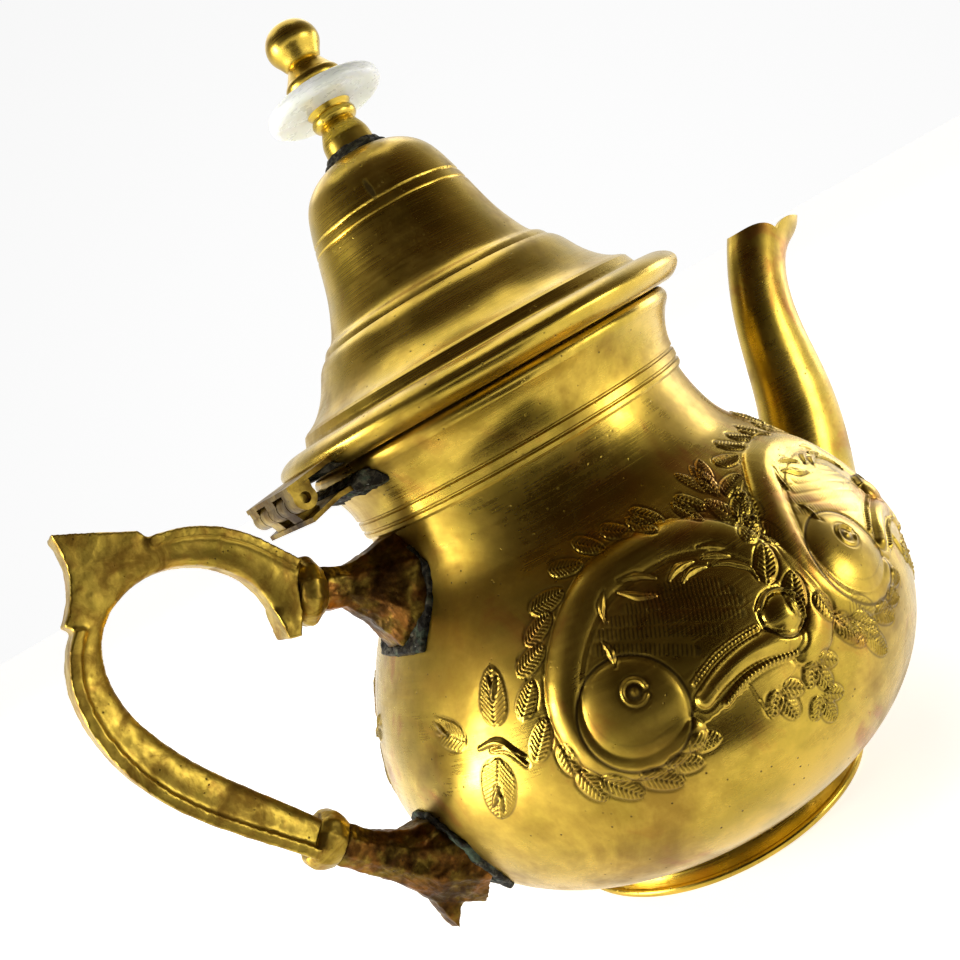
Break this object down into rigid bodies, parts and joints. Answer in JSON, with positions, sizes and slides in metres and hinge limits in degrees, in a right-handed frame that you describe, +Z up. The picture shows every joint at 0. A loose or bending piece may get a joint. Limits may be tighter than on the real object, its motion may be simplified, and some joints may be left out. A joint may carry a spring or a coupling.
{
  "type": "teapot",
  "caption": "Bulbous brass teapot with a curved two-part spout, a cast loop handle and a hinged bell lid with a turned finial.",
  "frame": {"origin": "centre of the foot ring's resting plane, on the pot's axis", "axes": "+Z up the pot's axis, +X towards the spout, -X towards the handle; the lid's hinge pin is parallel to Y"},
  "size_m": [0.21, 0.1174, 0.1844],
  "materials": {
    "brass": "aged, brushed",
    "cast_brass": "cast and filed, tarnished",
    "solder": "dull, oxidised",
    "pin": "dark",
    "disc": "translucent white"
  },
  "bodies": {
    "pot": {"body_shell": "brass", "foot_ring": "brass", "neck_collar": "brass", "spout_front_half": "brass", "spout_rear_half": "brass", "spout_base_solder": "solder", "hinge_body_leaf": "brass", "hinge_pin": "pin", "hinge_body_solder": "solder", "handle_bow": "cast_brass", "handle_upper_collar": "cast_brass", "handle_upper_bracket": "cast_brass", "handle_lower_ring": "cast_brass", "handle_lower_bracket": "cast_brass", "solder_upper_bracket": "solder", "solder_lower_bracket": "solder"},
    "lid": {"lid_dome": "brass", "finial_spool": "cast_brass", "finial_disc": "disc", "finial_knob": "cast_brass", "finial_solder": "solder", "finial_rivet": "cast_brass", "hinge_lid_leaf": "brass", "hinge_lid_solder": "solder"}
  },
  "joints": [
    {"name": "lid_hinge", "type": "hinge", "parent": "pot", "child": "lid", "pos_m": [-0.0517, 0, 0.1001], "axis": [0, -1, 0], "range_deg": [0, 110]}
  ]
}
